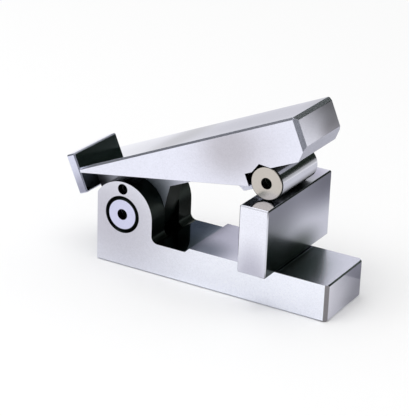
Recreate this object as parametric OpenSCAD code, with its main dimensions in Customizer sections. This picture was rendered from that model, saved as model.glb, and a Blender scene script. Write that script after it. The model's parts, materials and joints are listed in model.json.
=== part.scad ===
// A hinged sine bar: a forked base, a swinging bar with a stop plate and a measuring roller,
// set at its angle by a gauge block under the roller.
// Origin: centre of the base's underside. X runs from the hinge to the roller, Y across, Z up.

/* [Base] */
// Length of the base
base_l = 75; // [68:1:100]
// Width of the base, the bar and the stop plate
base_w = 22; // [20:1:30]
// Thickness of the base
base_t = 11; // [9:0.5:16]
// Radius of the lugs about the hinge axis
lug_r = 10; // [9.5:0.5:11]
// Thickness of each lug
lug_t = 7; // [6:0.5:7.5]
// Distance of the hinge axis from the end of the base
pin_inset = 8.5; // [7:0.5:9.5]
// Fillet at the foot of the lugs
lug_fillet = 2; // [0.5:0.1:3]
// Depth of the relief between the lugs and the land for the gauge block
relief_d = 1.4; // [0.4:0.1:1.8]
// Length of the relief, from the lugs to the top of its sloped end
relief_l = 12.6; // [8:0.2:16]
// Chamfer on the upright edges at the free end of the base
base_corner = 1; // [0.3:0.1:2]

/* [Hinge] */
// Diameter of the hinge pin
pin_d = 10; // [8:0.5:11]
// Chamfer at the mouth of the lug bores
bore_chamfer = 0.6; // [0.2:0.1:0.8]
// Radius of the round end of the tongue
tongue_r = 9; // [8:0.5:9.5]
// Slope of the front flank of the tongue, from the work face
flank_angle = 52.5; // [48:0.5:65]
// Running clearance of the pin in the tongue, on the radius
pin_run = 0.02; // [0.01:0.01:0.1]
// Clearance beside the tongue, on each side
tongue_side = 0.1; // [0.05:0.05:0.3]
// Clearance around the round end of the tongue
tongue_end = 0.5; // [0.3:0.1:1]

/* [Bar] */
// Distance between the hinge axis and the roller axis
sine_l = 50; // [45:1:56]
// Height of the work face over the line through both axes
bar_h = 16; // [15:0.5:19]
// Length of the bar behind the hinge axis
bar_back = 9.5; // [9:0.5:12]
// Length of the bar past the roller axis
bar_nose = 15.5; // [10:0.5:20]
// Thickness of the cheeks at the stop plate
back_t = 1.4; // [1:0.1:2]
// Clearance between the cheeks and the lugs
lug_clear = 1.7; // [0.5:0.1:2]
// Depth of the keel below the work face
keel_t = 12.3; // [11:0.1:13]
// Drop of the heel below the line through both axes
heel_drop = 2; // [0.5:0.1:2.4]
// Length of the heel behind the roller
heel_l = 6.8; // [4:0.2:8]
// Chamfer under the nose
nose_chamfer = 3.4; // [1:0.1:4]
// Chamfer on the upright edges and the top edge of the nose
bar_corner = 1.1; // [0.3:0.1:2]
// Chamfer along the edges of the work face
bar_break = 0.6; // [0.1:0.1:1]

/* [Stop plate] */
// Thickness of the stop plate
stop_t = 3; // [2.5:0.1:5]
// Height of the stop plate
stop_h = 12; // [11:0.5:14]
// Rise of the stop plate over the work face
stop_rise = 4.5; // [3:0.5:6]

/* [Roller] */
// Diameter of the measuring roller
roller_d = 10; // [9:0.5:12]
// Length of the measuring roller
roller_l = 21; // [18:0.5:28]
// Depth of the vee that seats the roller
seat_depth = 1.8; // [1:0.1:2.4]
// Distance between the two roller screws
roller_pitch = 8; // [7:0.5:9]

/* [Gauge block] */
// Height of the gauge block, which sets the angle
block_h = 20; // [12:0.5:26]
// Width of the gauge block along the base
block_w = 9; // [6:0.5:12]
// Length of the gauge block across the base
block_l = 38; // [30:1:44]
// Offset of the gauge block towards the back
block_shift = 2; // [-4:0.5:4]

/* [Magnets] */
// Diameter of the holding magnets in the keel
magnet_d = 5; // [3:0.5:5.5]
// Length of each holding magnet
magnet_l = 8; // [5:0.5:9]
// Distance between neighbouring magnets
magnet_pitch = 6.5; // [6:0.1:7]
// Steel left over the magnets, under the work face
magnet_skin = 1.2; // [0.8:0.1:2]

/* [Details] */
// Small chamfer on ground edges
edge_break = 0.4; // [0.1:0.1:0.6]
// Chamfer on the ends of the pin and the roller
round_break = 0.4; // [0.1:0.1:0.8]
// Diameter of the holes in the ends of the pin and the roller
centre_d = 3.3; // [2:0.1:4]
// Depth of the holes in the ends of the pin and the roller
centre_depth = 2.4; // [1:0.1:2.6]
// Gap of a seated or pressed piece in its place, on the radius
seat_gap = 0.01; // [0.005:0.005:0.02]
// Gap left between the roller and the gauge block
rest_gap = 0.05; // [0.02:0.01:0.1]

/* [Hidden] */
$fn = 96;

roller_r = roller_d / 2;
pin_r = pin_d / 2;

// The hinge axis lies one roller radius over the base, so that the sine of the tilt is
// the height of the gauge block over the distance between the axes.
pin_x = pin_inset - base_l / 2;
pin_z = base_t + roller_r;
tilt = asin((block_h + rest_gap) / sine_l);
roller_x = pin_x + sine_l * cos(tilt);

// Fork and tongue; the foot of the lugs is the floor of the relief, from the hinge axis
foot = base_t - relief_d - pin_z;
slot_w = base_w - 2 * lug_t;
tongue_w = slot_w - 2 * tongue_side;
slot_r = tongue_r + tongue_end;

// Outline of the bar in its own frame: u along the work face, v square to it, from the hinge axis
bar_end = sine_l + bar_nose;
vee_half = 60;
vee_apex = (roller_r + seat_gap) / sin(vee_half);
nose_v = vee_apex - seat_depth;
vee_mouth = seat_depth * tan(vee_half);
wall_gap = 0.4;
wall_u = sine_l - roller_r - wall_gap;
keel_v = bar_h - keel_t;

// The underside of the cheeks runs from the stop plate down past the lugs, and touches
// a circle about the hinge axis that leaves the lugs their clearance.
cheek_r = lug_r + lug_clear;
cheek_start = [-bar_back, bar_h - back_t];
cheek_normal = atan2(cheek_start[1], cheek_start[0]) - acos(cheek_r / norm(cheek_start));
function cheek_v(u) = (cheek_r - u * cos(cheek_normal)) / sin(cheek_normal);

// The tongue: both flanks touch its round end
stop_foot = bar_h + stop_rise - stop_h;
flank_foot = tongue_r * [sin(flank_angle), -cos(flank_angle)];
flank_top_u = flank_foot[0] + (keel_v - flank_foot[1]) / tan(flank_angle);
rear_corner = [-bar_back, stop_foot];
rear_touch = atan2(rear_corner[1], rear_corner[0]) + acos(tongue_r / norm(rear_corner));
rear_foot = tongue_r * [cos(rear_touch), sin(rear_touch)];
heel_slope = 60;
heel_u = wall_u - heel_l;
heel_top_u = heel_u - (keel_v + heel_drop) / tan(heel_slope);

// Screws: [shank, head diameter, head height, key width]
M3 = [3, 5.5, 3, 2.5];
M2 = [2, 3.8, 2, 1.5];
screw_room = 0.1;
roller_screw_l = 12;
roller_seat = -0.9;
stop_screw_l = 6;
stop_screw_pitch = 4.2;
stop_screw_v = (stop_foot + bar_h) / 2;
thread_spare = 1;

// Lock screw in the land between the pin bore and the rim of the near lug
lock_d = 3;
lock_tip_d = 2;
lock_tip_l = 0.8;
lock_key = 1.5;
lock_recess = 1.4;
lock_z = pin_z + (pin_r + bore_chamfer + lug_r) / 2;

magnet_count = 3;
magnet_mid = (flank_top_u + heel_top_u) / 2;
magnet_top = bar_h - magnet_skin;

// Half the angle of a drill's point
drill_half = 59;

// Extra length of a cut past the face that it leaves
past = 1;

steel = "lightsteelblue";
bright = "gainsboro";
dark = "dimgray";

// A drawing in X and Z, given its width along Y
module side_view(width) {
    rotate([90, 0, 0])
        linear_extrude(width, center = true)
            children();
}

// A drawing in Y and Z, given its length along X from x0
module end_view(x0, length) {
    translate([x0, 0, 0])
        rotate([90, 0, 90])
            linear_extrude(length)
                children();
}

// A rectangle from corner a to corner b whose four corners are cut by c
module cut_rect(a, b, c) {
    polygon([
        [a[0] + c, a[1]], [b[0] - c, a[1]], [b[0], a[1] + c], [b[0], b[1] - c],
        [b[0] - c, b[1]], [a[0] + c, b[1]], [a[0], b[1] - c], [a[0], a[1] + c]
    ]);
}

// A block from corner a to corner b with all twelve edges cut by c
module ground_block(a, b, c) {
    mid_y = (a[1] + b[1]) / 2;
    intersection() {
        translate([0, mid_y, 0])
            side_view(b[1] - a[1])
                cut_rect([a[0], a[2]], [b[0], b[2]], c);
        end_view(a[0], b[0] - a[0])
            cut_rect([a[1], a[2]], [b[1], b[2]], c);
        translate([0, 0, a[2]])
            linear_extrude(b[2] - a[2])
                cut_rect([a[0], a[1]], [b[0], b[1]], c);
    }
}

// A three-sided cut of size c along an edge that runs in X
module edge_cut(length, c) {
    rotate([45, 0, 0])
        cube([length, c * sqrt(2), c * sqrt(2)], center = true);
}

// A round bar along Y with broken edges and a drilled hole in each end
module centred_bar(r, length) {
    half = length / 2;
    drill_r = centre_d / 2;
    drill_tip = drill_r / tan(drill_half);
    bottom = half - centre_depth;
    rotate([90, 0, 0])
        rotate_extrude()
            polygon([
                [0, -bottom + drill_tip], [drill_r, -bottom], [drill_r, -half],
                [r - round_break, -half], [r, -half + round_break],
                [r, half - round_break], [r - round_break, half],
                [drill_r, half], [drill_r, bottom], [0, bottom - drill_tip]
            ]);
}

// A socket-head screw along +Z whose head rests on the plane z = 0
module cap_screw(size, length) {
    shank_r = size[0] / 2;
    head_r = size[1] / 2;
    head_h = size[2];
    tip = shank_r / 3;
    difference() {
        rotate_extrude()
            polygon([
                [0, -head_h], [head_r - edge_break, -head_h], [head_r, edge_break - head_h],
                [head_r, 0], [shank_r, 0], [shank_r, length - tip],
                [shank_r - tip, length], [0, length]
            ]);
        translate([0, 0, -head_h - past])
            cylinder(d = size[3] / cos(30), h = head_h / 2 + past, $fn = 6);
    }
}

// The hole for such a screw: its counterbore up to the mouth, its clearance hole and its thread
module cap_screw_hole(size, length, mouth) {
    translate([0, 0, -mouth])
        cylinder(d = size[1] + 2 * screw_room, h = mouth);
    translate([0, 0, -past])
        cylinder(d = size[0] + 2 * screw_room, h = length + thread_spare + past);
}

// Places drawn in the bar's own frame
module on_bar() {
    translate([pin_x, 0, pin_z])
        rotate([0, -tilt, 0])
            children();
}

// One child at each of two places along Y
module pair_across(pitch) {
    for (side = [-1, 1])
        translate([0, side * pitch / 2, 0])
            children();
}

module at_roller_screws() {
    pair_across(roller_pitch)
        translate([sine_l, 0, roller_seat])
            children();
}

module at_stop_screws() {
    head_room = stop_t - M2[2] - screw_room;
    pair_across(stop_screw_pitch)
        translate([-bar_back - head_room, 0, stop_screw_v])
            rotate([0, 90, 0])
                children();
}

module at_magnets() {
    for (i = [0 : magnet_count - 1])
        translate([magnet_mid + (i - (magnet_count - 1) / 2) * magnet_pitch, 0, 0])
            children();
}

// Side view of the base about the hinge axis: slab, land, lug and fillet
module base_outline() {
    left = -pin_inset;
    land = lug_r + relief_l;
    difference() {
        union() {
            polygon([
                [left, -pin_z], [base_l + left, -pin_z], [base_l + left, base_t - pin_z],
                [land, base_t - pin_z], [land - relief_d, foot], [lug_r, foot], [lug_r, 0], [left, 0]
            ]);
            circle(lug_r);
            translate([lug_r - past, foot - past])
                square(lug_fillet + past);
        }
        translate([lug_r + lug_fillet, foot + lug_fillet])
            circle(lug_fillet);
        translate([left - lug_r, -lug_r])
            square([lug_r, 2 * lug_r]);
    }
}

// The slot of the fork: open to the hinge end and upwards, round under the tongue
module slot_outline() {
    reach = 2 * lug_r + past;
    circle(slot_r);
    translate([-reach, -slot_r])
        square([reach, slot_r + reach]);
    translate([-past, foot])
        square([past + lug_r + relief_l / 2, reach]);
}

module base() {
    half_l = base_l / 2;
    half_w = base_w / 2;
    top = pin_z + lug_r;
    color(steel)
    difference() {
        intersection() {
            translate([pin_x, 0, pin_z])
                side_view(base_w)
                    base_outline();
            linear_extrude(top)
                polygon([
                    [-half_l, -half_w], [half_l - base_corner, -half_w], [half_l, base_corner - half_w],
                    [half_l, half_w - base_corner], [half_l - base_corner, half_w], [-half_l, half_w]
                ]);
            end_view(-half_l, base_l)
                polygon([
                    [edge_break - half_w, 0], [half_w - edge_break, 0], [half_w, edge_break],
                    [half_w, top], [-half_w, top], [-half_w, edge_break]
                ]);
        }
        translate([pin_x, 0, pin_z])
            side_view(slot_w)
                slot_outline();
        translate([pin_x, 0, pin_z])
            rotate([90, 0, 0])
                cylinder(r = pin_r + seat_gap, h = base_w + 2 * past, center = true);
        for (turn = [90, -90])
            translate([pin_x, 0, pin_z])
                rotate([turn, 0, 0])
                    translate([0, 0, half_w - bore_chamfer])
                        cylinder(r1 = pin_r, r2 = pin_r + 2 * bore_chamfer, h = 2 * bore_chamfer);
        translate([pin_x, -half_w - past, lock_z])
            rotate([-90, 0, 0])
                cylinder(d = lock_d + 2 * screw_room, h = lug_t + 2 * past);
        // Broken edges at the free end, above and below
        for (z = [0, base_t])
            translate([half_l, 0, z])
                rotate([0, 0, 90])
                    edge_cut(base_w + 2 * past, edge_break);
    }
}

module hinge_pin() {
    color(bright)
    translate([pin_x, 0, pin_z])
        centred_bar(pin_r, base_w);
}

// Set screw with a flat point that bears on the side of the tongue
module lock_screw() {
    r = lock_d / 2;
    length = lug_t - lock_recess;
    color(dark)
    translate([pin_x, lock_recess - base_w / 2, lock_z])
        rotate([-90, 0, 0])
            difference() {
                rotate_extrude()
                    polygon([
                        [0, 0], [r - edge_break, 0], [r, edge_break], [r, length - lock_tip_l],
                        [lock_tip_d / 2, length], [0, length]
                    ]);
                translate([0, 0, -past])
                    cylinder(d = lock_key / cos(30), h = length / 2 + past, $fn = 6);
            }
}

// Cheeks and nose: the full width of the bar
module cheek_outline() {
    polygon([
        [-bar_back, bar_h],
        [bar_end - bar_corner, bar_h],
        [bar_end, bar_h - bar_corner],
        [bar_end, nose_v + nose_chamfer],
        [bar_end - nose_chamfer, nose_v],
        [sine_l + vee_mouth, nose_v],
        [sine_l, vee_apex],
        [sine_l - vee_mouth, nose_v],
        [wall_u, nose_v],
        [wall_u, cheek_v(wall_u)],
        cheek_start
    ]);
}

// Keel, heel and tongue: the middle of the bar, which swings in the fork
module keel_outline() {
    circle(tongue_r);
    polygon([
        [-bar_back, bar_h],
        [wall_u, bar_h],
        [wall_u, -heel_drop],
        [heel_u, -heel_drop],
        [heel_top_u, keel_v],
        [flank_top_u, keel_v],
        flank_foot,
        rear_foot,
        rear_corner
    ]);
}

module sine_bar() {
    half_w = base_w / 2;
    length = bar_back + bar_end;
    color(steel)
    on_bar()
        difference() {
            union() {
                intersection() {
                    side_view(base_w)
                        cheek_outline();
                    linear_extrude(bar_h + past)
                        polygon([
                            [-bar_back, -half_w], [bar_end - bar_corner, -half_w],
                            [bar_end, bar_corner - half_w], [bar_end, half_w - bar_corner],
                            [bar_end - bar_corner, half_w], [-bar_back, half_w]
                        ]);
                    end_view(-bar_back, length)
                        polygon([
                            [-half_w, 0], [half_w, 0], [half_w, bar_h - bar_break],
                            [half_w - bar_break, bar_h], [bar_break - half_w, bar_h],
                            [-half_w, bar_h - bar_break]
                        ]);
                }
                side_view(tongue_w)
                    keel_outline();
            }
            rotate([90, 0, 0])
                cylinder(r = pin_r + pin_run, h = base_w, center = true);
            at_roller_screws()
                cap_screw_hole(M3, roller_screw_l, roller_r);
            at_stop_screws()
                cap_screw_hole(M2, stop_screw_l, stop_t);
            at_magnets()
                translate([0, 0, keel_v - past])
                    cylinder(r = magnet_d / 2 + seat_gap, h = magnet_top - keel_v + past);
        }
}

module stop_plate() {
    half_w = base_w / 2;
    color(steel)
    on_bar()
        difference() {
            ground_block(
                [-bar_back - stop_t, -half_w, stop_foot],
                [-bar_back, half_w, stop_foot + stop_h],
                edge_break
            );
            at_stop_screws()
                cap_screw_hole(M2, stop_screw_l, stop_t);
        }
}

module stop_screws() {
    color(dark)
    on_bar()
        at_stop_screws()
            cap_screw(M2, stop_screw_l);
}

module roller() {
    color(bright)
    on_bar()
        difference() {
            translate([sine_l, 0, 0])
                centred_bar(roller_r, roller_l);
            at_roller_screws()
                cap_screw_hole(M3, roller_screw_l, roller_r);
        }
}

module roller_screws() {
    color(dark)
    on_bar()
        at_roller_screws()
            cap_screw(M3, roller_screw_l);
}

module magnets() {
    color("silver")
    on_bar()
        at_magnets()
            translate([0, 0, magnet_top - magnet_l])
                cylinder(d = magnet_d, h = magnet_l);
}

module magnet_plugs() {
    color("goldenrod")
    on_bar()
        at_magnets()
            translate([0, 0, keel_v])
                cylinder(d = magnet_d, h = magnet_top - magnet_l - keel_v);
}

module gauge_block() {
    half_w = block_w / 2;
    half_l = block_l / 2;
    color(bright)
    ground_block(
        [roller_x - half_w, block_shift - half_l, base_t],
        [roller_x + half_w, block_shift + half_l, base_t + block_h],
        edge_break
    );
}

base();
hinge_pin();
lock_screw();
sine_bar();
stop_plate();
stop_screws();
roller();
roller_screws();
magnets();
magnet_plugs();
gauge_block();
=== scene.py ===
import json
import math

import bpy
from bpy.props import FloatProperty, FloatVectorProperty, PointerProperty
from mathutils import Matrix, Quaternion, Vector

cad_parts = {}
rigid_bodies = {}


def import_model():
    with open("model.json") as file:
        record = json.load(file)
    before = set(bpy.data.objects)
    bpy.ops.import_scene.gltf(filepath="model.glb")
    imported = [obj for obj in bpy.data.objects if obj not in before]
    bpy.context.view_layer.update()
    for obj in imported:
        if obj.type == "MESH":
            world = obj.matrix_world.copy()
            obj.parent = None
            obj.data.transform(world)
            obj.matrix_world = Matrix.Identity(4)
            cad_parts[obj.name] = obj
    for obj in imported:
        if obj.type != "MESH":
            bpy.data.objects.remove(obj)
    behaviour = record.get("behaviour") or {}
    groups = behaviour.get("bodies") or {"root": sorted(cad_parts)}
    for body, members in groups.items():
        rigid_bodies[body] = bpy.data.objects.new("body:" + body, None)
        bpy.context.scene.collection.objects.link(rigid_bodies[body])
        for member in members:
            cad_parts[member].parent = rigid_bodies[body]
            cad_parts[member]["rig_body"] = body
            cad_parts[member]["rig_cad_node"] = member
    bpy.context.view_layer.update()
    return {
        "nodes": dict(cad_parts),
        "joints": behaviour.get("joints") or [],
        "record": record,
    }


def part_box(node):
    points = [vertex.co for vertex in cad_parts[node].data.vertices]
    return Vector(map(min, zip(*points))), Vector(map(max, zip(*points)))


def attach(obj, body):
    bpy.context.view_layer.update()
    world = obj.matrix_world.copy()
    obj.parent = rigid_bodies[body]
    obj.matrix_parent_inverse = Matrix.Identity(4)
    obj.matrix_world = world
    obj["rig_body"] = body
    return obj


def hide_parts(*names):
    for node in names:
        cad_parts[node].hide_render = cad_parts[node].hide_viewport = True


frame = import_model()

bl_info = {
    "name": "Sine bar looks",
    "version": (1, 0, 0),
    "blender": (4, 5, 0),
    "location": "View3D > Sidebar > Sine bar",
    "description": "Softened edges, ground-steel finishes and a plain studio for a hinged sine bar",
    "category": "Object",
}

MM = 0.001

# Rounding of the ground pieces: merged points, joined faces, sharp edges, steps of the rounding, face weight
MERGE = 0.002 * MM
JOIN_ANGLE = math.radians(0.3)
SHARP_ANGLE = math.radians(25.0)
EDGE_STEPS = 2
FACE_WEIGHT = 100

# Limits on a normal: square to an axis, flat beside a chamfer, a lug's side, an underside, a turned end
SQUARE = (0.7, 0.9)
FLAT = (0.80, 0.97)
LUG_SIDE = (0.3, 0.6)
DOWNWARD = (0.1, 0.3)
TURNED_END = (0.2, 0.4)
# Blur on each side of the line where the painted shade of a ring, rim or hole ends
BLUR = 0.05 * MM
# Share of the reach of a soft area of painted shade in which it is full
TONE_CORE = 0.15
# Brightness of the painted shade in rings, and in holes and rims, beside the colour of the painted shade on
# the milled faces
RING_DARK, HOLE_DARK = 0.3, 0.5
# Depth of the grinding and turning lines, and how strongly they show
LINE_DEPTH = 0.004 * MM
GROUND_BUMP, TURNED_BUMP = 0.05, 0.04

# Patterns of ground steel: draw of the lines, scales of clouds and grain, and their shares in the tone
GRINDING = (60.0, 5200.0, 5200.0)
GROUND_CLOUDS = 55.0
GROUND_GRAIN = 2400.0
PLAIN_SHARE, CLOUD_SHARE, LINE_SHARE, GRAIN_SHARE = 0.82, 0.10, 0.04, 0.21
# What grinding lines, chamfers, milled faces and dull places add to the roughness
ROUGH_LINES, ROUGH_CHAMFER, ROUGH_MILLED, ROUGH_DULL = 0.03, 0.2, 0.2, 0.4

# Patterns of turned steel: end rings, scale of the clouds, draw of the barrel's lines, and shares in the tone
TURNING = 30000.0
TURNED_CLOUDS = 160.0
BARREL_LINES = (300.0, 9000.0, 300.0)
TURNED_PLAIN, TURNED_CLOUD, TURNED_RINGS = 0.93, 0.1, 0.02
# What the barrel's lines, and holes and rims, add to the roughness
ROUGH_BARREL, ROUGH_HOLE = 0.04, 0.3
# Painted dark reflections in bands on the upper and the lower part of a barrel: limits on the rise of the
# normal, and depth of tone
UPPER_BAND, UPPER_DEPTH = (0.13, 0.38), 0.64
LOWER_BAND, LOWER_DEPTH = (0.0, 0.45), 0.7

# Small pieces: scale of the clouds, where one tone passes into the other, and what they add to the roughness
SMALL_CLOUDS = 900.0
SMALL_DRIFT = (0.35, 0.65)
SMALL_ROUGH = 0.1

# Milled fork of the base, painted dark as shade: where it starts and ends, half its slot, and its foot
FORK_BACK = (-37.45 * MM, -37.3 * MM)
FORK_FRONT = (-17.0 * MM, -16.9 * MM)
FORK_SLOT = (4.05 * MM, 4.15 * MM)
FORK_FOOT = (9.3 * MM, 9.5 * MM)
# Where the free end of the land starts, and how dull it is
LAND_END = (20.0 * MM, 24.0 * MM)
LAND_DULL = 0.5
# Half the length of the roller's strip on the block, and how dull the sides of the block are beside it
TRACK_HALF = (8.0 * MM, 11.0 * MM)
BLOCK_DULL = 0.3
# Where the ground nose of the bar starts, and half the width of its tongue and keel
NOSE_START = (56.0 * MM, 57.0 * MM)
TONGUE_HALF = (4.0 * MM, 5.0 * MM)

# Painted shade: a dark ring in the groove round the pin, in the centre holes of pin and roller, and on the
# dark rims of their ends
PIN_RING = (4.9 * MM, 5.65 * MM)
CENTRE_HOLE = 1.65 * MM
PIN_RIM = 4.45 * MM
ROLLER_RIM = 4.75 * MM
# Room round the lock screw, and a depth past the whole width of the base, for the painted shade in the lock
# hole and round the pin
LOCK_ROOM = 0.1 * MM
THROUGH = 20 * MM

# Painted shade and painted reflections: soft darker areas on the faces of the pieces, where shade and dark
# reflections fall. A row has the axis that the face lies square to, or E for chamfers, then the centre and
# the reach of the painted shade in millimetres, and its tint.
BASE_PAINTED_SHADE = (
    # near side of the lug
    ("Y", (-33, -11, 14), (34, 4, 24), (0.64, 0.62, 0.64)),
    # land, and its stretch in front of the relief
    ("Z", (0, 0, 11), (300, 200, 1), (0.72, 0.71, 0.77)),
    ("Z", (-8, 0, 11), (34, 30, 1), (0.62, 0.61, 0.66)),
    # floor of the relief, and its near part
    ("Z", (-13, 0, 9.6), (300, 200, 1), (0.40, 0.45, 0.52)),
    ("Z", (-11, -9, 9.6), (14, 16, 1), (0.14, 0.20, 0.19)),
    # near edge of the land by the relief, and the land beyond the block
    ("Z", (-3, -10, 11), (12, 12, 1), (0.26, 0.30, 0.34)),
    ("Z", (25, -6, 11), (14, 22, 1), (0.48, 0.53, 0.49)),
    # free end, its near chamfer, and its far side above and below
    ("X", (37.5, 0, 5), (3, 80, 60), (0.80, 0.78, 0.80)),
    ("E", (37.5, -11, 5), (4, 4, 40), (0.31, 0.29, 0.28)),
    ("X", (37.5, 11, 10), (3, 26, 14), (0.36, 0.36, 0.40)),
    ("X", (37.5, 12, 2), (3, 18, 8), (0.52, 0.52, 0.55)),
)
# The painted shade of the bar and the stop plate is placed from the hinge, along the work face and square to
# it.
BAR_PAINTED_SHADE = (
    # near side by the roller
    ("Y", (44, -11, 11), (22, 4, 14), (0.80, 0.78, 0.77)),
    ("Y", (42, -11, 12), (12, 4, 12), (0.84, 0.83, 0.82)),
    # work face, its lower part, and its far corner at the nose
    ("Z", (54, 0, 16), (72, 26, 1), (0.30, 0.30, 0.41)),
    ("Z", (21, 0, 16), (11, 40, 1), (0.52, 0.52, 0.55)),
    ("Z", (65, 8, 16), (8, 12, 1), (0.50, 0.50, 0.56)),
    # nose, its far top corner, and its far half
    ("X", (65.5, 0, 10), (3, 80, 60), (0.86, 0.85, 0.84)),
    ("X", (65.5, 12, 16), (3, 27, 16), (0.17, 0.17, 0.17)),
    ("X", (65.5, 6, 8), (3, 11, 5.5), (0.57, 0.56, 0.56)),
    # heel and tongue
    ("Y", (-9, -4, 8), (8, 3, 9), (0.04, 0.04, 0.04)),
    ("Y", (6, -4, 3), (16, 3, 14), (0.30, 0.34, 0.34)),
)
STOP_PAINTED_SHADE = (
    # near end, and the side that stands over the work face
    ("Y", (-11, -11, 8.5), (5, 3, 9), (0.5, 0.49, 0.52)),
    ("X", (-9.5, 0, 14), (2, 60, 40), (0.20, 0.23, 0.21)),
)
BLOCK_PAINTED_SHADE = (
    # near end
    ("Y", (16.8, -17, 10), (9, 3, 15), (0.60, 0.59, 0.63)),
    # side: top, far end, foot and near end
    ("X", (21.3, 4, 32), (3, 80, 14), (0.36, 0.36, 0.39)),
    ("X", (21.3, 24, 27), (3, 26, 11), (0.46, 0.46, 0.50)),
    ("X", (21.3, 1, 12.5), (3, 19, 9), (0.12, 0.15, 0.12)),
    ("X", (21.3, -20, 14), (3, 32, 22), (0.09, 0.12, 0.10)),
    # top: far end, under the roller, and the near corner
    ("Z", (16.8, 16, 31), (12, 10, 1), (0.50, 0.48, 0.56)),
    ("Z", (16.8, 2, 31), (16, 17, 1), (0.06, 0.07, 0.07)),
    ("Z", (12.3, -14, 31), (4, 8, 1), (0.30, 0.34, 0.32)),
    # side: near foot, past the edge of the base
    ("X", (21.3, -15, 12), (3, 7, 4), (0.20, 0.25, 0.20)),
    # chamfers of the top and of the foot
    ("E", (16.8, 0, 31), (60, 60, 3), (0.32, 0.32, 0.32)),
    ("E", (21.3, 0, 11), (4, 40, 3), (0.07, 0.07, 0.07)),
)

# Small pieces by finish: slot, pieces, two tones and the roughness
SMALL_FINISHES = (
    ("black_steel", ("lock_screw", "stop_screws", "roller_screws"),
     (0.02, 0.02, 0.022), (0.05, 0.05, 0.055), 0.4),
    ("magnet_plate", ("magnets",), (0.62, 0.61, 0.58), (0.72, 0.71, 0.68), 0.2),
    ("plug_brass", ("magnet_plugs",), (0.62, 0.44, 0.18), (0.74, 0.56, 0.27), 0.25),
)

# Floor: its side, how far it lies under the part, and where it runs out into white
FLOOR_SIDE = 8.0
FLOOR_DROP = 0.02 * MM
FLOOR_FADE = (0.15, 0.7)
# Paper and cloth: scale of the clouds, their share in the tone, and the roughness
PAPER_CLOUDS = 3.0
PAPER_PLAIN, PAPER_CLOUD = 0.99, 0.02
PAPER_ROUGH = 0.9
# Cards round the part: name, finish, colour, compass angle, angle over the floor, width, height and twist
FLAG_DISTANCE = 1.0
FLAGS = (
    ("flag_right", "flag_cloth", (0.045, 0.062, 0.046), 60.0, 30.2, 1.5, 0.8, 0.0),
    ("flag_front", "dusk_card", (0.32, 0.33, 0.35), 300.0, 25.0, 1.8, 0.8, 0.0),
    ("flag_left", "shade_card", (0.17, 0.18, 0.19), 195.0, 30.0, 0.7, 0.6, 0.0),
    ("card_far", "blue_card", (0.07, 0.085, 0.105), 127.8, 15.6, 0.4, 0.4, 37.0),
)
# Painted shadow: cards on the floor, darker than the floor, that only the steel shows, where the part's
# shadow lies behind it. Name, finish, colour, place, width and depth
FLOOR_SHADOW_CARDS = (
    ("card_right", "grey_card", (0.60, 0.60, 0.63), (0.097, 0.095, 0.0001), 0.146, 0.15),
    ("card_back", "dim_card", (0.10, 0.10, 0.10), (-0.013, 0.075, 0.0001), 0.074, 0.09),
)
# Lamps: distance, and for each the name, compass angle, angle over the floor, size and setting for its power
LAMP_DISTANCE = 1.3
LAMPS = (
    ("lamp_top", 240.0, 80.0, 1.2, "top_power"),
    ("lamp_key", 235.0, 55.0, 0.8, "key_power"),
)
# Camera: width of the sensor in millimetres, and the nearest and farthest things that it shows
SENSOR_WIDTH = 36.0
CLIP = (0.01, 50.0)


def hinge_point():
    """The hinge axis of the bar where it crosses the middle of the part."""
    return Vector(frame["joints"][0]["pos_m"])


def bar_tilt():
    """The angle of the work face at rest, from the direction that its mount faces."""
    face = next(m for m in frame["record"]["mounts"] if m["name"] == "work_face")
    return math.atan2(-face["axis"][0], face["axis"][2])


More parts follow.
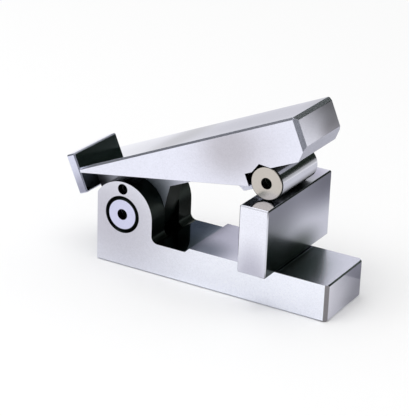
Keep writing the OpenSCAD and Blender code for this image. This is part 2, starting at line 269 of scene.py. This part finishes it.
class SteelSettings(bpy.types.PropertyGroup):
    """How the ground and turned steel pieces look."""

    edge: FloatProperty(
        name="Edge rounding",
        description="Width of the small rounding on the sharp edges of the ground pieces",
        default=0.00012, min=0.0, unit="LENGTH", precision=5,
    )
    bar_tint: FloatVectorProperty(
        name="Bar", description="Colour of the ground faces of the bar",
        default=(0.80, 0.81, 0.92), size=3, subtype="COLOR", min=0.0, max=1.0,
    )
    stop_tint: FloatVectorProperty(
        name="Stop plate", description="Colour of the stop plate",
        default=(0.68, 0.70, 0.84), size=3, subtype="COLOR", min=0.0, max=1.0,
    )
    base_tint: FloatVectorProperty(
        name="Base", description="Colour of the ground faces of the base",
        default=(0.88, 0.90, 0.98), size=3, subtype="COLOR", min=0.0, max=1.0,
    )
    block_tint: FloatVectorProperty(
        name="Gauge block", description="Colour of the gauge block",
        default=(0.86, 0.87, 0.96), size=3, subtype="COLOR", min=0.0, max=1.0,
    )
    pin_tint: FloatVectorProperty(
        name="Hinge pin", description="Colour of the hinge pin",
        default=(0.64, 0.65, 0.84), size=3, subtype="COLOR", min=0.0, max=1.0,
    )
    roller_tint: FloatVectorProperty(
        name="Roller", description="Colour of the barrel of the measuring roller",
        default=(0.86, 0.87, 0.95), size=3, subtype="COLOR", min=0.0, max=1.0,
    )
    roller_end_tint: FloatVectorProperty(
        name="Roller ends", description="Colour of the turned ends of the measuring roller",
        default=(0.57, 0.53, 0.49), size=3, subtype="COLOR", min=0.0, max=1.0,
    )
    # Painted shade: the colour painted on the milled faces of the fork and under the bar, and in holes, rings
    # and rims
    shade_tint: FloatVectorProperty(
        name="Painted shade", description="Colour painted as shade on the milled faces, and in holes, rings and rims",
        default=(0.012, 0.018, 0.015), size=3, subtype="COLOR", min=0.0, max=1.0,
    )
    mirror: FloatProperty(
        name="Roughness of tops", description="Roughness of the ground top faces",
        default=0.045, min=0.0, max=1.0, subtype="FACTOR",
    )
    ends: FloatProperty(
        name="Roughness of ends", description="Roughness of the end faces",
        default=0.09, min=0.0, max=1.0, subtype="FACTOR",
    )
    satin: FloatProperty(
        name="Roughness of sides", description="Roughness of the side faces",
        default=0.18, min=0.0, max=1.0, subtype="FACTOR",
    )
    barrel: FloatProperty(
        name="Roughness of barrels", description="Roughness of the round faces of the pin and the roller",
        default=0.13, min=0.0, max=1.0, subtype="FACTOR",
    )
    chamfer_tone: FloatProperty(
        name="Chamfer tone", description="Brightness of the chamfers beside that of the ground faces",
        default=0.8, min=0.0, max=1.0, subtype="FACTOR",
    )


class StageSettings(bpy.types.PropertyGroup):
    """The floor, the light and the camera."""

    floor_tint: FloatVectorProperty(
        name="Floor", description="Colour of the floor",
        default=(0.93, 0.93, 0.93), size=3, subtype="COLOR", min=0.0, max=1.0,
    )
    sky: FloatProperty(
        name="Room light", description="Strength of the light from all round",
        default=0.68, min=0.0,
    )
    top_power: FloatProperty(
        name="Overhead lamp", description="Power of the softbox over the part",
        default=6.5, min=0.0, unit="POWER",
    )
    key_power: FloatProperty(
        name="Key lamp", description="Power of the softbox at the front",
        default=2.5, min=0.0, unit="POWER",
    )
    lens: FloatProperty(
        name="Lens", description="Focal length on a 36 mm sensor, in millimetres",
        default=146.73, min=1.0,
    )
    place: FloatVectorProperty(
        name="Camera", description="Place of the camera",
        default=(0.21376, -0.38888, 0.20573), size=3, subtype="TRANSLATION", unit="LENGTH", precision=5,
    )
    aim: FloatVectorProperty(
        name="Line of sight", description="Direction in which the camera looks",
        default=(-0.4576, 0.8018, -0.3844), size=3, subtype="DIRECTION", precision=4,
    )
    roll: FloatProperty(
        name="Roll", description="Turn of the camera about its line of sight",
        default=math.radians(2.138), subtype="ANGLE",
    )


class Shade:
    """A shader socket that takes part in arithmetic and makes further nodes in its tree."""

    def __init__(self, tree, socket=None):
        self.tree = tree
        self.socket = socket

    def node(self, kind, settings=None, values=None, out=0):
        """Make one node: its settings first, then the values or links of its sockets."""
        made = self.tree.nodes.new(kind)
        for key, value in (settings or {}).items():
            setattr(made, key, value)
        for key, value in (values or {}).items():
            if isinstance(value, Shade):
                self.tree.links.new(value.socket, made.inputs[key])
            else:
                made.inputs[key].default_value = value
        return Shade(self.tree, made.outputs[out])

    def math(self, operation, a, b=0.0):
        """One Math node on values."""
        return self.node("ShaderNodeMath", {"operation": operation}, {0: a, 1: b})

    def __add__(self, other):
        return self.math("ADD", self, other)

    def __sub__(self, other):
        return self.math("SUBTRACT", self, other)

    def __rsub__(self, other):
        return self.math("SUBTRACT", other, self)

    def __mul__(self, other):
        return self.math("MULTIPLY", self, other)

    def __abs__(self):
        return self.math("ABSOLUTE", self)

    __radd__ = __add__
    __rmul__ = __mul__

    def most(self, other):
        """The larger of two values."""
        return self.math("MAXIMUM", self, other)

    def step(self, low, high):
        """0 below low and 1 above high, with a smooth rise between them."""
        return self.node(
            "ShaderNodeMapRange", {"interpolation_type": "SMOOTHSTEP"},
            {"Value": self, "From Min": low, "From Max": high, "To Min": 0.0, "To Max": 1.0},
        )

    def past(self, limit):
        """0 below a limit and 1 above it, with a little blur between them."""
        return self.step(limit - BLUR, limit + BLUR)

    def pick(self, low, high, blend="MIX"):
        """A colour between low and high, by this value."""
        ends = [c if isinstance(c, Shade) else (*c, 1.0) for c in (low, high)]
        return self.node(
            "ShaderNodeMix", {"data_type": "RGBA", "blend_type": blend, "clamp_factor": True},
            {0: self, 6: ends[0], 7: ends[1]}, out=2,
        )

    def parts(self):
        """The three parts of a vector."""
        split = self.node("ShaderNodeSeparateXYZ", None, {0: self}).socket.node
        return [Shade(self.tree, split.outputs[i]) for i in range(3)]

    def noise(self, scale, detail=3.0, stretch=(1.0, 1.0, 1.0)):
        """Noise over this vector, drawn out by the stretch."""
        drawn = self.node("ShaderNodeVectorMath", {"operation": "MULTIPLY"}, {0: self, 1: stretch})
        return self.node("ShaderNodeTexNoise", None, {"Vector": drawn, "Scale": scale, "Detail": detail})


def new_material(name):
    """A material with an empty shader tree, and the first Shade in it."""
    material = bpy.data.materials.new(name)
    material.use_nodes = True
    material.node_tree.nodes.clear()
    return material, Shade(material.node_tree)


def close_material(start, surface):
    """Lead the finished surface to the material's output."""
    output = start.tree.nodes.new("ShaderNodeOutputMaterial")
    start.tree.links.new(surface.socket, output.inputs["Surface"])


def scaled(colour, tone):
    """A colour made lighter or darker by a tone."""
    return tone.node("ShaderNodeVectorMath", {"operation": "SCALE"}, {0: colour, "Scale": tone})


def from_axis(place, x=0.0, z=0.0):
    """Distance from an axis that runs along Y."""
    px, _, pz = place.parts()
    arm = place.node("ShaderNodeCombineXYZ", None, {0: px - x, 1: 0.0, 2: pz - z})
    return place.node("ShaderNodeVectorMath", {"operation": "LENGTH"}, {0: arm}, out="Value")


def soft_area(place, centre, reach):
    """A soft round area: 1 at its centre and 0 at its reach, both in millimetres."""
    arm = place.node(
        "ShaderNodeVectorMath", {"operation": "SUBTRACT"}, {0: place, 1: [c * MM for c in centre]}
    )
    arm = place.node(
        "ShaderNodeVectorMath", {"operation": "DIVIDE"}, {0: arm, 1: [r * MM for r in reach]}
    )
    far = place.node("ShaderNodeVectorMath", {"operation": "LENGTH"}, {0: arm}, out="Value")
    return 1.0 - far.step(TONE_CORE, 1.0)


def local_frame(start, origin, turn):
    """Object coordinates and normal in the frame of a piece, whose X axis is turned up by an angle."""
    place = start.node("ShaderNodeTexCoord", out="Object")
    facing = start.node("ShaderNodeTexCoord", out="Normal")
    place = start.node(
        "ShaderNodeMapping", {"vector_type": "TEXTURE"},
        {"Vector": place, "Location": origin, "Rotation": (0.0, -turn, 0.0)},
    )
    facing = start.node(
        "ShaderNodeMapping", {"vector_type": "VECTOR"}, {"Vector": facing, "Rotation": (0.0, turn, 0.0)}
    )
    return place, facing


def shaded_fork_faces(place, facing):
    """The round tops and the flanks of the lugs, which were milled and not ground; painted dark as their
    shade.
    """
    px, py, pz = place.parts()
    across = 1.0 - abs(facing.parts()[1]).step(*LUG_SIDE)
    along = px.step(*FORK_BACK) * (1.0 - px.step(*FORK_FRONT))
    slot = 1.0 - abs(py).step(*FORK_SLOT)
    return along * (across * pz.step(*FORK_FOOT)).most(slot)


def land_end(place, facing):
    """The free end of the land, which is ground less finely than the rest."""
    return LAND_DULL * facing.parts()[2].step(*SQUARE) * place.parts()[0].step(*LAND_END)


def roller_track(place, facing):
    """The dull strip of the block's top under the roller, and the less dull sides of the block."""
    up = facing.parts()[2].step(*SQUARE) * (1.0 - abs(place.parts()[1]).step(*TRACK_HALF))
    return up.most(BLOCK_DULL * abs(facing.parts()[0]).step(*SQUARE))


def shaded_underside(place, facing):
    """The faces under the bar, up to the nose, which were milled and not ground; painted dark as the shade
    under the bar.
    """
    down = (0.0 - facing.parts()[2]).step(*DOWNWARD)
    return down * (1.0 - place.parts()[0].step(*NOSE_START))


def tongue_sides(place, facing):
    """The dull sides of the tongue and the keel, which stand back from the sides of the bar."""
    return abs(facing.parts()[1]).step(*SQUARE) * (1.0 - abs(place.parts()[1]).step(*TONGUE_HALF))


def ground_steel(
    name, tint, painted_shade, origin=(0.0, 0.0, 0.0), turn=0.0, rings=(), milled_and_shaded=None, dull=None
):
    """Surface-ground steel: bright faces with fine grinding lines, darker chamfers, milled faces painted dark
    as shade, and soft areas of painted shade and painted reflections.
    """
    look = bpy.context.scene.sine_bar_steel
    material, start = new_material(name)
    place, facing = local_frame(start, origin, turn)
    facings = dict(zip("XYZ", [abs(part) for part in facing.parts()]))
    nx, ny, nz = facings.values()
    flat = nx.most(ny).most(nz).step(*FLAT)
    facings["E"] = 1.0 - flat
    lines = place.noise(1.0, 2.0, GRINDING)
    cloud = place.noise(GROUND_CLOUDS)
    grain = place.noise(GROUND_GRAIN, 2.0)
    colour = flat.pick(tuple(look.chamfer_tone * c for c in tint), tint)
    # Painted shade and painted reflections: soft areas that darken the colour
    for axis, centre, reach, shade in painted_shade:
        area = soft_area(place, centre, reach) * facings[axis].step(*SQUARE)
        colour = area.pick(colour, shade, "MULTIPLY")
    colour = scaled(
        colour, PLAIN_SHARE + CLOUD_SHARE * cloud + LINE_SHARE * lines + GRAIN_SHARE * grain
    )
    rough = look.mirror + (look.satin - look.mirror) * ny.step(*SQUARE)
    rough = rough + (look.ends - look.mirror) * nx.step(*SQUARE)
    rough = rough + ROUGH_LINES * lines + ROUGH_CHAMFER * (1.0 - flat)
    # Painted shade on milled faces: a dark colour, and more roughness for the milling
    if milled_and_shaded:
        dark = milled_and_shaded(place, facing)
        colour = dark.pick(colour, look.shade_tint)
        rough = rough + ROUGH_MILLED * dark
    if dull:
        rough = rough + ROUGH_DULL * dull(place, facing)
    # Painted shade in the lock hole and in the groove round the pin
    for x, z, inner, outer, back in rings:
        far = from_axis(place, x, z)
        dark = far.past(inner) * (1.0 - far.past(outer))
        dark = dark * (1.0 - place.parts()[1].step(back, back + MM))
        colour = dark.pick(colour, [RING_DARK * c for c in look.shade_tint])
    bump = start.node(
        "ShaderNodeBump", None, {"Height": lines, "Strength": GROUND_BUMP, "Distance": LINE_DEPTH}
    )
    surface = start.node(
        "ShaderNodeBsdfPrincipled", None,
        {"Base Color": colour, "Metallic": 1.0, "Roughness": rough, "Normal": bump},
    )
    close_material(start, surface)
    return material


def turned_steel(name, tint, end_tint, origin, rim):
    """Ground round steel: rings on the ends, lines on the barrel with painted dark reflections in bands, and
    painted shade in the hole and on the rim.
    """
    look = bpy.context.scene.sine_bar_steel
    material, start = new_material(name)
    place, facing = local_frame(start, origin, 0.0)
    far = from_axis(place)
    end = abs(facing.parts()[1]).step(*TURNED_END)
    # Painted shade in the centre hole, and on the rim of each end
    dark = (1.0 - far.past(CENTRE_HOLE)).most(end * far.past(rim))
    rings = start.math("SINE", far * TURNING)
    cloud = place.noise(TURNED_CLOUDS)
    lines = place.noise(1.0, 2.0, BARREL_LINES)
    rise = facing.parts()[2]
    # Painted dark reflections in bands on the barrel
    reflection_bands = 1.0 - UPPER_DEPTH * rise.step(*UPPER_BAND)
    reflection_bands = reflection_bands * (1.0 - LOWER_DEPTH * (0.0 - rise).step(*LOWER_BAND))
    tone = TURNED_PLAIN + TURNED_CLOUD * cloud + TURNED_RINGS * rings * end
    colour = scaled(end.pick(tint, end_tint), tone * reflection_bands)
    colour = dark.pick(colour, [HOLE_DARK * c for c in look.shade_tint])
    rough = look.barrel + (look.satin - look.barrel) * end + ROUGH_BARREL * lines + ROUGH_HOLE * dark
    bump = start.node(
        "ShaderNodeBump", None,
        {"Height": rings * end + lines * (1.0 - end), "Strength": TURNED_BUMP, "Distance": LINE_DEPTH},
    )
    surface = start.node(
        "ShaderNodeBsdfPrincipled", None,
        {"Base Color": colour, "Metallic": 1.0, "Roughness": rough, "Normal": bump},
    )
    close_material(start, surface)
    return material


def small_metal(name, low, high, rough):
    """A small metal piece whose colour drifts between two tones."""
    material, start = new_material(name)
    place = start.node("ShaderNodeTexCoord", out="Object")
    cloud = place.noise(SMALL_CLOUDS)
    colour = cloud.step(*SMALL_DRIFT).pick(low, high)
    surface = start.node(
        "ShaderNodeBsdfPrincipled", None,
        {"Base Color": colour, "Metallic": 1.0, "Roughness": rough + SMALL_ROUGH * cloud},
    )
    close_material(start, surface)
    return material


def cad_node(name):
    """A piece of the part as the frame gives it."""
    if name not in frame["nodes"]:
        raise RuntimeError("The frame has no piece " + name)
    return frame["nodes"][name]


def finish_node(name, material):
    """Give a piece of the frame its material."""
    node = cad_node(name)
    node.data.materials.clear()
    node.data.materials.append(material)


def softened(name, body, material):
    """A copy of a ground CAD node with merged faces and a small rounding on its sharp edges."""
    look = bpy.context.scene.sine_bar_steel
    bpy.ops.object.select_all(action="DESELECT")
    node = cad_node(name)
    node.select_set(True)
    bpy.context.view_layer.objects.active = node
    bpy.ops.object.duplicate()
    piece = bpy.context.object
    piece.name = name + "_soft"
    piece.parent = None
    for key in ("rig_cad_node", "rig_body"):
        del piece[key]
    bpy.ops.object.mode_set(mode="EDIT")
    bpy.ops.mesh.select_all(action="SELECT")
    bpy.ops.mesh.remove_doubles(threshold=MERGE)
    bpy.ops.mesh.dissolve_limited(angle_limit=JOIN_ANGLE)
    bpy.ops.object.mode_set(mode="OBJECT")
    bpy.ops.mesh.customdata_custom_splitnormals_clear()
    bpy.ops.object.shade_smooth()
    faces = len(piece.data.polygons)
    bevel = piece.modifiers.new("edges", "BEVEL")
    bevel.width = look.edge
    bevel.segments = EDGE_STEPS
    bevel.limit_method = "ANGLE"
    bevel.angle_limit = SHARP_ANGLE
    bevel.miter_outer = "MITER_ARC"
    weighted = piece.modifiers.new("normals", "WEIGHTED_NORMAL")
    weighted.weight = FACE_WEIGHT
    for modifier in ("edges", "normals"):
        bpy.ops.object.modifier_apply(modifier=modifier)
    if len(piece.data.polygons) <= faces:
        raise RuntimeError("The edges of " + name + " were not rounded")
    piece.data.materials.clear()
    piece.data.materials.append(material)
    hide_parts(name)
    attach(piece, body)


class SINEBAR_OT_base(bpy.types.Operator):
    """Soften and finish the forked base"""

    bl_idname = "sine_bar.base"
    bl_label = "Base"

    def execute(self, context):
        look = context.scene.sine_bar_steel
        low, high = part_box("lock_screw")
        lock = (low + high) / 2
        hinge = hinge_point()
        steel = ground_steel(
            "base_steel", look.base_tint, BASE_PAINTED_SHADE,
            # Painted shade in the lock hole on the near side, and in the groove round the hinge pin
            rings=(
                (lock.x, lock.z, -MM, (high.x - low.x) / 2 + LOCK_ROOM, high.y),
                (hinge.x, hinge.z, *PIN_RING, THROUGH),
            ),
            milled_and_shaded=shaded_fork_faces, dull=land_end,
        )
        softened("base", "base", steel)
        return {"FINISHED"}


class SINEBAR_OT_bar(bpy.types.Operator):
    """Soften and finish the swinging bar"""

    bl_idname = "sine_bar.bar"
    bl_label = "Bar"

    def execute(self, context):
        look = context.scene.sine_bar_steel
        steel = ground_steel(
            "bar_steel", look.bar_tint, BAR_PAINTED_SHADE, hinge_point(), bar_tilt(),
            milled_and_shaded=shaded_underside, dull=tongue_sides,
        )
        softened("sine_bar", "bar", steel)
        return {"FINISHED"}


class SINEBAR_OT_stop(bpy.types.Operator):
    """Soften and finish the stop plate"""

    bl_idname = "sine_bar.stop"
    bl_label = "Stop plate"

    def execute(self, context):
        look = context.scene.sine_bar_steel
        steel = ground_steel("stop_steel", look.stop_tint, STOP_PAINTED_SHADE, hinge_point(), bar_tilt())
        softened("stop_plate", "bar", steel)
        return {"FINISHED"}


class SINEBAR_OT_round(bpy.types.Operator):
    """Finish the hinge pin and the measuring roller"""

    bl_idname = "sine_bar.round"
    bl_label = "Pin and roller"

    def execute(self, context):
        look = context.scene.sine_bar_steel
        for name, slot, tint, end_tint, rim in (
            ("hinge_pin", "pin_steel", look.pin_tint, look.pin_tint, PIN_RIM),
            ("roller", "roller_steel", look.roller_tint, look.roller_end_tint, ROLLER_RIM),
        ):
            low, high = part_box(name)
            finish_node(name, turned_steel(slot, tint, end_tint, (low + high) / 2, rim))
        return {"FINISHED"}


class SINEBAR_OT_block(bpy.types.Operator):
    """Soften and finish the gauge block"""

    bl_idname = "sine_bar.block"
    bl_label = "Gauge block"

    def execute(self, context):
        look = context.scene.sine_bar_steel
        steel = ground_steel("block_steel", look.block_tint, BLOCK_PAINTED_SHADE, dull=roller_track)
        softened("gauge_block", "base", steel)
        return {"FINISHED"}


class SINEBAR_OT_small(bpy.types.Operator):
    """Finish the screws, the magnets and their plugs"""

    bl_idname = "sine_bar.small"
    bl_label = "Screws and magnets"

    def execute(self, context):
        for slot, names, low, high, rough in SMALL_FINISHES:
            material = small_metal(slot, low, high, rough)
            for name in names:
                finish_node(name, material)
        return {"FINISHED"}


def seen(start):
    """1 for rays that show the background: straight, in metal or through glass."""
    rays = start.node("ShaderNodeLightPath").socket.node.outputs
    camera, glossy, through = [
        Shade(start.tree, rays[name])
        for name in ("Is Camera Ray", "Is Glossy Ray", "Is Transmission Ray")
    ]
    return camera.most(glossy).most(through)


def matt(start, place, colour):
    """The surface of paper or cloth."""
    tone = PAPER_PLAIN + PAPER_CLOUD * place.noise(PAPER_CLOUDS, 2.0)
    return start.node(
        "ShaderNodeBsdfPrincipled", None,
        {"Base Color": scaled(colour, tone), "Roughness": PAPER_ROUGH, "Specular IOR Level": 0.0},
    )


def card_material(name, colour):
    """Matt card or cloth."""
    material, start = new_material(name)
    close_material(start, matt(start, start.node("ShaderNodeTexCoord", out="Object"), colour))
    return material


def floor_material(name, colour):
    """Pale paper that holds the shadow of the part and runs out into plain white far from it."""
    material, start = new_material(name)
    place = start.node("ShaderNodeTexCoord", out="Object")
    far = start.node("ShaderNodeVectorMath", {"operation": "LENGTH"}, {0: place}, out="Value")
    white = start.node("ShaderNodeEmission", None, {"Color": (1.0, 1.0, 1.0, 1.0), "Strength": 1.0})
    surface = start.node(
        "ShaderNodeMixShader", None,
        {0: seen(start) * far.step(*FLOOR_FADE), 1: matt(start, place, colour), 2: white},
    )
    close_material(start, surface)
    return material


def towards(azimuth, elevation, distance):
    """The point at a compass angle from +X, an angle over the floor and a distance from the origin."""
    a, e = math.radians(azimuth), math.radians(elevation)
    return distance * Vector((math.cos(e) * math.cos(a), math.cos(e) * math.sin(a), math.sin(e)))


def softbox(name, azimuth, elevation, size, power):
    """A square area lamp that faces the part."""
    place = towards(azimuth, elevation, LAMP_DISTANCE)
    bpy.ops.object.light_add(type="AREA", location=place)
    lamp = bpy.context.object
    lamp.name = name
    lamp.rotation_euler = (-place).to_track_quat("-Z", "Y").to_euler()
    lamp.data.size = size
    lamp.data.energy = power


def panel(name, place, turn, width, height, material):
    """A card beside the picture that only the steel shows, by its reflection."""
    bpy.ops.mesh.primitive_plane_add(size=1.0, location=place)
    card = bpy.context.object
    card.name = name
    card.rotation_euler = turn.to_euler()
    card.scale = (width, height, 1.0)
    bpy.ops.object.transform_apply(location=True, rotation=True, scale=True)
    card.data.materials.append(material)
    card.visible_camera = False
    card.visible_diffuse = False
    card.visible_shadow = False


def flag(name, azimuth, elevation, width, height, twist, material):
    """A card that stands round the part and faces it."""
    place = towards(azimuth, elevation, FLAG_DISTANCE)
    turn = place.to_track_quat("Z", "Y") @ Quaternion((0.0, 0.0, 1.0), math.radians(twist))
    panel(name, place, turn, width, height, material)


class SINEBAR_OT_stage(bpy.types.Operator):
    """Set up the floor, the light and the camera"""

    bl_idname = "sine_bar.stage"
    bl_label = "Stage"

    def execute(self, context):
        look = context.scene.sine_bar_stage
        scene = context.scene
        bpy.ops.object.select_all(action="DESELECT")
        bpy.ops.mesh.primitive_plane_add(size=FLOOR_SIDE, location=(0.0, 0.0, -FLOOR_DROP))
        bpy.ops.object.transform_apply(location=True, rotation=True, scale=True)
        floor = context.object
        floor.name = "floor"
        floor.data.materials.append(floor_material("floor_paper", look.floor_tint))
        for name, finish, colour, azimuth, elevation, width, height, twist in FLAGS:
            flag(name, azimuth, elevation, width, height, twist, card_material(finish, colour))
        # Painted shadow: cards on the floor that only the steel shows
        for name, finish, colour, place, width, depth in FLOOR_SHADOW_CARDS:
            panel(name, place, Quaternion(), width, depth, card_material(finish, colour))
        for name, azimuth, elevation, size, power in LAMPS:
            softbox(name, azimuth, elevation, size, getattr(look, power))
        world = bpy.data.worlds.new("room")
        world.use_nodes = True
        world.node_tree.nodes.clear()
        start = Shade(world.node_tree)
        sky = start.node(
            "ShaderNodeBackground", None,
            {"Color": (1.0, 1.0, 1.0, 1.0), "Strength": look.sky + (1.0 - look.sky) * seen(start)},
        )
        output = world.node_tree.nodes.new("ShaderNodeOutputWorld")
        world.node_tree.links.new(sky.socket, output.inputs["Surface"])
        scene.world = world
        bpy.ops.object.camera_add(location=look.place)
        camera = context.object
        camera.name = "camera"
        camera.data.lens = look.lens
        camera.data.sensor_width = SENSOR_WIDTH
        camera.rotation_mode = "QUATERNION"
        camera.rotation_quaternion = (
            Vector(look.aim).to_track_quat("-Z", "Y") @ Quaternion((0.0, 0.0, 1.0), look.roll)
        )
        camera.data.clip_start, camera.data.clip_end = CLIP
        scene.camera = camera
        scene.view_settings.view_transform = "Standard"
        return {"FINISHED"}


class SINEBAR_PT_panel(bpy.types.Panel):
    """The steps in the order in which they run"""

    bl_idname = "SINEBAR_PT_panel"
    bl_label = "Sine bar"
    bl_space_type = "VIEW_3D"
    bl_region_type = "UI"
    bl_category = "Sine bar"

    def draw(self, context):
        for step in STEPS:
            self.layout.operator(step.bl_idname)


STEPS = (
    SINEBAR_OT_base, SINEBAR_OT_bar, SINEBAR_OT_stop, SINEBAR_OT_round, SINEBAR_OT_block,
    SINEBAR_OT_small, SINEBAR_OT_stage,
)
CLASSES = (SteelSettings, StageSettings, *STEPS, SINEBAR_PT_panel)


def register():
    for cls in CLASSES:
        bpy.utils.register_class(cls)
    bpy.types.Scene.sine_bar_steel = PointerProperty(type=SteelSettings)
    bpy.types.Scene.sine_bar_stage = PointerProperty(type=StageSettings)


def unregister():
    del bpy.types.Scene.sine_bar_stage
    del bpy.types.Scene.sine_bar_steel
    for cls in reversed(CLASSES):
        bpy.utils.unregister_class(cls)


def main():
    register()
    bpy.ops.sine_bar.base()
    bpy.ops.sine_bar.bar()
    bpy.ops.sine_bar.stop()
    bpy.ops.sine_bar.round()
    bpy.ops.sine_bar.block()
    bpy.ops.sine_bar.small()
    bpy.ops.sine_bar.stage()


if __name__ == "__main__":
    main()
